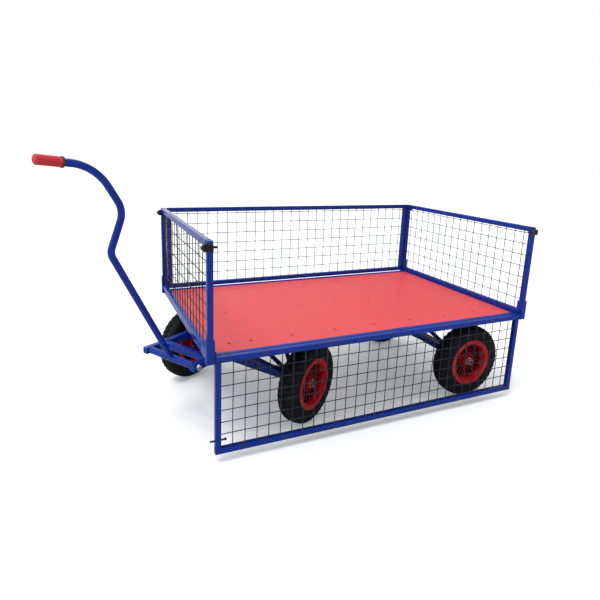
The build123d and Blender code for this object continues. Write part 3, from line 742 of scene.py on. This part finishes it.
# Handle: one swan-neck of 28 mm round tube welded to a cross boss. A red moulded grip with fine
# rings and a rounded end is pushed over the tip, up to a dark collar.
repaint(blue_paint, "handle_tube")
repaint(black_steel, "grip_ring")
repaint(bright_zinc, "handle_bolt", "handle_nut")
red_rubber = finish_of(
    "red_rubber", depth=0.00012, strength=0.5, Colour=(0.62, 0.045, 0.05, 1),
    Worn_Colour=(0.40, 0.03, 0.035, 1), Cloud_Scale=12.0, Cloud_Depth=0.2, Fleck_Share=0.2,
    Peel_Scale=700.0, Roughness=0.48, Roughness_Spread=0.16)
GRIP_TIP, GRIP_BEND = (1.031, 1.243), (0.822, 1.223)
grip_long, grip_cap, grip_wide, grip_dome = 0.085, 0.006, 0.018, 0.0085
grip_ribs, rib_first, rib_step = 13, 0.0100, 0.0050
grip_tip = Vector((kingpin_at.x, kingpin_at.y, GRIP_TIP[1])) + ahead * GRIP_TIP[0]
grip_rise = Vector((0, 0, GRIP_TIP[1] - GRIP_BEND[1]))
grip_way = (ahead * (GRIP_TIP[0] - GRIP_BEND[0]) + grip_rise).normalized()
hand = bmesh.new()
ribs = [(0, 0.0152), (0.0004, 0.0170), (0.0016, 0.0179), (0.0060, 0.0179), (0.0072, 0.0171)]
for n in range(grip_ribs):
    s = rib_first + n * rib_step
    ribs += [(s, 0.0171), (s + 0.0010, 0.0178), (s + 0.0030, 0.0178), (s + 0.0040, 0.0171)]
ribs += [(0.0760, 0.0178)]
dome = grip_long + grip_cap - grip_dome
ribs += [(dome + grip_dome * sin(t), grip_wide * (0.55 + 0.45 * cos(t)))
         for t in (pi / 2 * k / 8 for k in range(9))]
turned(hand, grip_tip - grip_way * grip_long, grip_way, ribs, 40)
piece("rubber_grip", hand, red_rubber, "handle", ("handle_grip",))

# Tyres: 16 inch pneumatic, black rubber. A smooth carcass with a bead ring on the sidewall and
# two staggered rows of slanted lugs that run over the shoulder.
tyre_black = finish_of(
    "tyre_black", depth=0.00025, strength=0.5, shine=0.15, Colour=(0.008, 0.009, 0.011, 1),
    Worn_Colour=(0.030, 0.029, 0.028, 1), Cloud_Scale=18.0, Cloud_Depth=0.35, Fleck_Scale=180.0,
    Fleck_Share=0.4, Peel_Scale=520.0, Roughness=0.62, Roughness_Spread=0.2)
CARCASS = ((0.0420, 0.1035), (0.0420, 0.1280), (0.0452, 0.1320), (0.0468, 0.1375),
           (0.0480, 0.1395), (0.0470, 0.1420), (0.0476, 0.1520), (0.0472, 0.1640),
           (0.0452, 0.1750), (0.0405, 0.1850), (0.0330, 0.1912), (0.0200, 0.1935), (0.0060, 0.1942))
TREAD = ((0.0040, 0.2000), (0.0130, 0.1995), (0.0240, 0.1982),
         (0.0330, 0.1945), (0.0395, 0.1893), (0.0448, 0.1790))
LUGS, lug_wide, lug_lean, lug_root = 40, 0.66, 0.75, 0.007
lug_taper, lug_foot, lug_edge = 0.12, 0.016, 0.010


def wheel_ring(bm, y, r, count):
    """Ring of points about the wheel's own axis, which is Y."""
    return [bm.verts.new((r * cos(t), y, r * sin(t)))
            for t in (2 * pi * k / count for k in range(count))]


def wheel_mesh(name, bm, sharp, *materials):
    """Finished mesh about the wheel's own middle, ready to be placed on each hub."""
    bmesh.ops.recalc_face_normals(bm, faces=bm.faces)
    mesh = bpy.data.meshes.new(name)
    bm.to_mesh(mesh)
    bm.free()
    mesh.shade_smooth()
    mesh.set_sharp_from_angle(angle=radians(sharp))
    for material in materials:
        mesh.materials.append(material)
    return mesh


tread = bmesh.new()
loop = list(CARCASS) + [(-y, r) for y, r in reversed(CARCASS)]
skin(tread, [wheel_ring(tread, y, r, 120) for y, r in loop], loop=True)
pitch = 2 * pi / LUGS
for side in (-1, 1):
    for n in range(LUGS):
        start = (n + (0.5 if side > 0 else 0.0)) * pitch
        rings = []
        for i, (y, r) in enumerate(TREAD):
            slant = start + lug_lean * pitch * i / (len(TREAD) - 1)
            wide = lug_wide * pitch * (1 - lug_taper * i / (len(TREAD) - 1))
            root = r - lug_root
            corners = ((slant - lug_foot, root), (slant + lug_edge, r),
                       (slant + wide - lug_edge, r), (slant + wide + lug_foot, root))
            rings.append([tread.verts.new((q * cos(t), side * y, q * sin(t))) for t, q in corners])
        skin(tread, rings)
tyre_mesh = wheel_mesh("tyre_tread", tread, 30, tyre_black)

# Rims: pressed and ribbed centre in a rolled flange ring, sprayed red. Twenty thin ribs run from the
# hub boss to the barrel on both faces. The disc between the ribs and the ribs' flat sides are
# coloured a near-black red as painted shade of the recessed dish inside the flange; the flange, the
# hub and the rib crowns keep the bright red.
rim_paint = finish_of(
    "rim_paint", coat=0.15, depth=0.00006, Colour=(0.62, 0.008, 0.018, 1),
    Worn_Colour=(0.20, 0.01, 0.012, 1), Cloud_Scale=20.0, Cloud_Depth=0.25, Fleck_Share=0.35,
    Peel_Scale=420.0, Roughness=0.30, Roughness_Spread=0.15)
LIP = ((0.0425, 0.1030), (0.0425, 0.1262), (0.0432, 0.1275), (0.0445, 0.1280),
       (0.0457, 0.1272), (0.0460, 0.1255), (0.0452, 0.1215), (0.0430, 0.1150),
       (0.0390, 0.1065), (0.0340, 0.1015), (0.0260, 0.0992))
# Near-black red for the disc and the rib sides: painted shade of the dish inside the flange, not a
# second paint.
rim_painted_shade = finish_of(
    "rim_painted_shade", coat=0.05, depth=0.00006, Colour=(0.055, 0.002, 0.005, 1),
    Worn_Colour=(0.05, 0.004, 0.005, 1), Cloud_Scale=24.0, Cloud_Depth=0.3, Fleck_Share=0.3,
    Peel_Scale=420.0, Roughness=0.42, Roughness_Spread=0.15)
DISC_HALF, RIBS, rib_half, rib_crown = 0.003, 20, 0.0015, 0.001
casting = bmesh.new()
loop = list(LIP) + [(-y, r) for y, r in reversed(LIP)]
skin(casting, [wheel_ring(casting, y, r, 120) for y, r in loop], loop=True)
disc_loop = ((DISC_HALF, 0.0130), (DISC_HALF, 0.0995),
             (-DISC_HALF, 0.0995), (-DISC_HALF, 0.0130))
before_disc = len(casting.faces)
skin(casting, [wheel_ring(casting, y, r, 96) for y, r in disc_loop], loop=True)
casting.faces.ensure_lookup_table()
# The disc between the ribs takes the painted shade colour.
for face in casting.faces[before_disc:]:
    face.material_index = 1
hub = ((0.0300, 0.0202), (0.0300, 0.0232), (0.0290, 0.0245), (0.0180, 0.0258), (0.0030, 0.0262))
hub_bore = [(-0.0180, 0.0202), (-0.0180, 0.0130), (0.0180, 0.0130), (0.0180, 0.0202)]
hub_loop = list(hub) + [(-y, r) for y, r in reversed(hub)] + hub_bore
skin(casting, [wheel_ring(casting, y, r, 64) for y, r in hub_loop], loop=True)
collar = ((DISC_HALF - 0.001, 0.0420), (0.0125, 0.0425), (0.0135, 0.0440),
          (0.0125, 0.0455), (DISC_HALF - 0.001, 0.0460))
for way in (-1, 1):
    skin(casting, [wheel_ring(casting, way * y, r, 72) for y, r in collar], loop=True)
RIB_EDGE = ((0.0245, 0.0235), (0.0340, 0.0185), (0.0500, 0.0150),
            (0.0700, 0.0165), (0.0880, 0.0205), (0.1000, 0.0245))
for n in range(RIBS):
    t = 2 * pi * n / RIBS
    out, tangent = Vector((cos(t), 0, sin(t))), Vector((-sin(t), 0, cos(t)))
    rings = []
    for r, top in RIB_EDGE:
        section = ((-rib_half, -top + rib_crown), (0, -top), (rib_half, -top + rib_crown),
                   (rib_half, top - rib_crown), (0, top), (-rib_half, top - rib_crown))
        rings.append([casting.verts.new(out * r + tangent * a + Vector((0, b, 0)))
                      for a, b in section])
    before_rib = len(casting.faces)
    skin(casting, rings)
    casting.faces.ensure_lookup_table()
    for face in casting.faces[before_rib:]:
        face.normal_update()
        # Flat rib sides take the painted shade colour, and the rib crowns stay bright red like
        # painted light on them.
        face.material_index = 1 if abs(face.normal.dot(tangent)) > 0.9 else 0
rim_mesh = wheel_mesh("ribbed_rim", casting, 32, rim_paint, rim_painted_shade)

# Valve: black rubber stem with a capped tip, moulded in one and pushed through the rim's disc
# beside a rib.
stem = bmesh.new()
valve_r, valve_turn = 0.080, radians(9)
valve_foot = Vector((valve_r * cos(valve_turn), 0.001, valve_r * sin(valve_turn)))
turned(stem, valve_foot, (0, 1, 0), (
    (0, 0.0060), (0.003, 0.0055), (0.005, 0.0040), (0.018, 0.0036), (0.0185, 0.0046),
    (0.027, 0.0046), (0.028, 0.0036)), 20)
valve_mesh = wheel_mesh("valve_stem", stem, 35, tyre_black)

# Wheels on their axles: each tyre, rim and valve is set on its own hub, stopped at its own angle,
# and turns on a pair of bright steel bearings.
first_roll, roll_step = 37, 61
for corner_name in ("fn", "ff", "rn", "rf"):
    spin = joints[f"wheel_spin_{corner_name}"]
    axis = Vector(spin["axis"]).normalized()
    outer = -axis if corner_name[1] == "n" else axis
    upward = Vector((0, 0, 1))
    place = Matrix((outer.cross(upward), outer, upward)).transposed().to_4x4()
    place.translation = Vector(spin["pos_m"])
    roll = radians(first_roll + roll_step * ("fn", "ff", "rn", "rf").index(corner_name))
    rolled = Matrix.Rotation(roll, 4, "Y")
    for label, mesh, slot_name, node in (
            ("tyre", tyre_mesh, "tyre", "tyre_"), ("wheel_rim", rim_mesh, "rim_red", "rim_"),
            ("valve", valve_mesh, "tyre", None)):
        own_mesh = mesh.copy()
        own_mesh.transform(place @ rolled)
        part = bpy.data.objects.new(f"{label}_{corner_name}_piece", own_mesh)
        bpy.context.scene.collection.objects.link(part)
        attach(part, f"wheel_{corner_name}")
        if node:
            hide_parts(node + corner_name)
    repaint(bright_zinc, f"bearings_{corner_name}")

# Axle nuts: chamfered hexagon nuts on plain washers, over the turned axle ends. Their zinc has
# caught some of the rim's red spray.
sprayed_zinc = finish_of(
    "sprayed_zinc", metallic=0.7, depth=0.00004, Colour=(0.50, 0.28, 0.25, 1),
    Worn_Colour=(0.55, 0.05, 0.05, 1), Cloud_Scale=60.0, Cloud_Depth=0.4, Fleck_Scale=150.0,
    Fleck_Share=0.8, Roughness=0.36, Roughness_Spread=0.2)
NUT_FLAT, NUT_HIGH, WASHER, WASHER_R = 0.030, 0.0132, 0.003, 0.0170
seat_out, nut_bevel, bevel_share, uncut = 0.0303, 0.0018, 1.02, 1
for end, names in (("front", ("fn", "ff")), ("rear", ("rn", "rf"))):
    nuts = bmesh.new()
    for corner_name in names:
        spin = joints[f"wheel_spin_{corner_name}"]
        axis = Vector(spin["axis"]).normalized() * (-1 if corner_name[1] == "n" else 1)
        seat = Vector(spin["pos_m"]) + axis * seat_out
        turned(nuts, seat, axis, ((0, 0.0165), (0.0004, WASHER_R),
                                  (WASHER - 0.0004, WASHER_R), (WASHER, 0.0165)))
        side, top = frame_of(axis, (0, 0, 1))
        rings = []
        point = NUT_FLAT / 2 / cos(pi / 6)
        bevelled = NUT_FLAT / 2 * bevel_share
        for s, cap in ((WASHER, bevelled), (WASHER + nut_bevel, uncut),
                       (WASHER + NUT_HIGH - nut_bevel, uncut), (WASHER + NUT_HIGH, bevelled)):
            ring = []
            for k in range(48):
                t = 2 * pi * k / 48
                hexed = NUT_FLAT / 2 / cos((t % (pi / 3)) - pi / 6)
                r = min(hexed, point, cap)
                ring.append(nuts.verts.new(seat + axis * s + (side * cos(t) + top * sin(t)) * r))
            rings.append(ring)
        skin(nuts, rings)
    body = "bogie" if end == "front" else "chassis"
    piece(f"{end}_hub_nuts", nuts, sprayed_zinc, body, (f"{end}_axle_nuts",))
